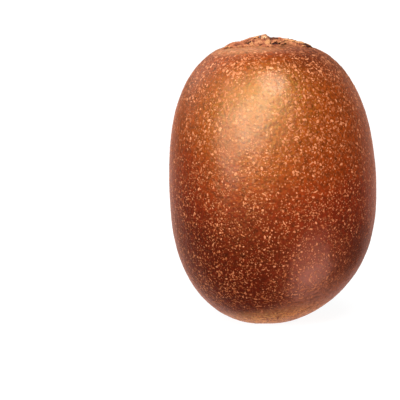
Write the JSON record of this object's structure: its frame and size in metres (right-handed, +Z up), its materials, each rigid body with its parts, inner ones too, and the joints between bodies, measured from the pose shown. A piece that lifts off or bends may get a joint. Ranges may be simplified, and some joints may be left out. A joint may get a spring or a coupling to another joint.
{
  "type": "golden kiwi fruit",
  "caption": "Whole golden kiwi fruit with thin, nearly hairless golden-brown skin, a dried calyx and stalk stub on top, standing on its blossom end.",
  "frame": {"origin": "on the surface that the fruit stands on, under the middle of its outline", "axes": "+Z up along the fruit from the blossom end to the stalk end, +X the broad way across it, to the right as seen from the front, +Y the narrow way, towards the back"},
  "size_m": [0.05, 0.0476, 0.0693],
  "materials": {
    "skin": "thin, slightly waxy golden-brown skin with pale raised lenticels and a soft satin sheen",
    "dry_sepal": "dried, papery, crumpled brown calyx, fully matte",
    "woody_stub": "torn dry wood, matte",
    "dry_style": "dried, nearly black filaments, matte"
  },
  "bodies": {
    "root": {"fruit": "skin", "sepals": "dry_sepal", "stalk_stub": "woody_stub", "styles": "dry_style"}
  },
  "joints": []
}
